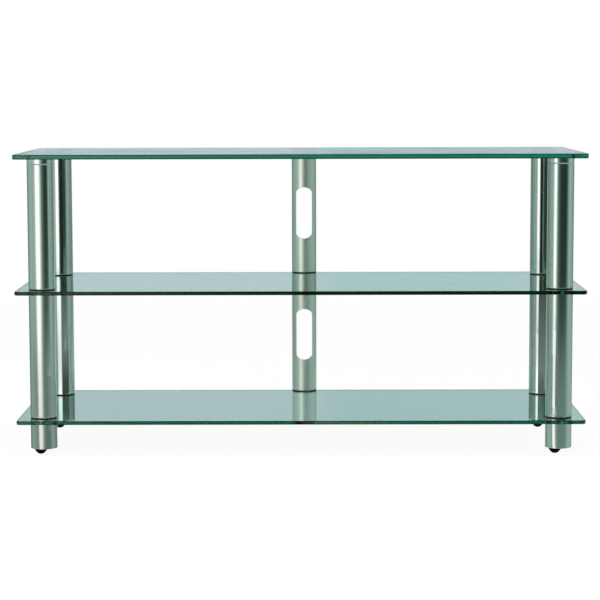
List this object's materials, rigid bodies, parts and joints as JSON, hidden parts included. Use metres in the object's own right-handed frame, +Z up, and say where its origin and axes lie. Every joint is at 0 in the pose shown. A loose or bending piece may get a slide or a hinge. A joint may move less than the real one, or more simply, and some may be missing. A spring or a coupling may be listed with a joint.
{
  "type": "audio equipment rack",
  "caption": "Open rack of tempered glass shelves on round satin steel legs, with a slotted cable tube at the back and levelling feet.",
  "frame": {"origin": "on the floor, under the middle of the whole footprint, which is the glass's depth plus the half of the cable tube that stands behind it", "axes": "+X along the rack's length, to the right as seen from the front; +Y from front to back; +Z up"},
  "size_m": [1.2, 0.472, 0.6381],
  "materials": {
    "tempered_glass": "clear float glass, tempered, with ground and polished edges that look green",
    "satin_steel": "stainless steel tube, satin polished round its length",
    "polished_steel": "turned steel disc, polished",
    "zinc_steel": "threaded rod, bright zinc plated",
    "turned_aluminium": "turned, bare",
    "black_nylon": "moulded black nylon, fine matt",
    "natural_nylon": "moulded uncoloured nylon, milky, fine matt",
    "black_rubber": "moulded black hard rubber pad"
  },
  "bodies": {
    "rack": {"top_glass": "tempered_glass", "middle_glass": "tempered_glass", "bottom_glass": "tempered_glass", "front_left_foot_tube": "satin_steel", "front_left_lower_tube": "satin_steel", "front_left_upper_tube": "satin_steel", "front_left_top_disc": "polished_steel", "front_left_foot_tube_top_plug": "black_nylon", "front_left_lower_tube_bottom_plug": "black_nylon", "front_left_lower_tube_top_plug": "black_nylon", "front_left_upper_tube_bottom_plug": "black_nylon", "front_left_upper_tube_top_plug": "natural_nylon", "front_left_tie_rod": "zinc_steel", "front_left_foot_insert": "turned_aluminium", "front_right_foot_tube": "satin_steel", "front_right_lower_tube": "satin_steel", "front_right_upper_tube": "satin_steel", "front_right_top_disc": "polished_steel", "front_right_foot_tube_top_plug": "black_nylon", "front_right_lower_tube_bottom_plug": "black_nylon", "front_right_lower_tube_top_plug": "black_nylon", "front_right_upper_tube_bottom_plug": "black_nylon", "front_right_upper_tube_top_plug": "natural_nylon", "front_right_tie_rod": "zinc_steel", "front_right_foot_insert": "turned_aluminium", "rear_left_foot_tube": "satin_steel", "rear_left_lower_tube": "satin_steel", "rear_left_upper_tube": "satin_steel", "rear_left_top_disc": "polished_steel", "rear_left_foot_tube_top_plug": "black_nylon", "rear_left_lower_tube_bottom_plug": "black_nylon", "rear_left_lower_tube_top_plug": "black_nylon", "rear_left_upper_tube_bottom_plug": "black_nylon", "rear_left_upper_tube_top_plug": "natural_nylon", "rear_left_tie_rod": "zinc_steel", "rear_left_foot_insert": "turned_aluminium", "rear_right_foot_tube": "satin_steel", "rear_right_lower_tube": "satin_steel", "rear_right_upper_tube": "satin_steel", "rear_right_top_disc": "polished_steel", "rear_right_foot_tube_top_plug": "black_nylon", "rear_right_lower_tube_bottom_plug": "black_nylon", "rear_right_lower_tube_top_plug": "black_nylon", "rear_right_upper_tube_bottom_plug": "black_nylon", "rear_right_upper_tube_top_plug": "natural_nylon", "rear_right_tie_rod": "zinc_steel", "rear_right_foot_insert": "turned_aluminium", "upper_cable_tube": "satin_steel", "lower_cable_tube": "satin_steel", "cable_tube_top_disc": "polished_steel", "cable_tube_top_plug": "black_nylon", "cable_tube_joiner": "black_nylon", "cable_tube_base": "black_nylon"},
    "front_left_foot": {"front_left_levelling_foot": "black_rubber"},
    "front_right_foot": {"front_right_levelling_foot": "black_rubber"},
    "rear_left_foot": {"rear_left_levelling_foot": "black_rubber"},
    "rear_right_foot": {"rear_right_levelling_foot": "black_rubber"}
  },
  "joints": [
    {"name": "front_left_foot_screw", "type": "slide", "parent": "rack", "child": "front_left_foot", "axis": [0, 0, -1], "range_m": [0, 0.008]},
    {"name": "front_right_foot_screw", "type": "slide", "parent": "rack", "child": "front_right_foot", "axis": [0, 0, -1], "range_m": [0, 0.008]},
    {"name": "rear_left_foot_screw", "type": "slide", "parent": "rack", "child": "rear_left_foot", "axis": [0, 0, -1], "range_m": [0, 0.008]},
    {"name": "rear_right_foot_screw", "type": "slide", "parent": "rack", "child": "rear_right_foot", "axis": [0, 0, -1], "range_m": [0, 0.008]}
  ]
}
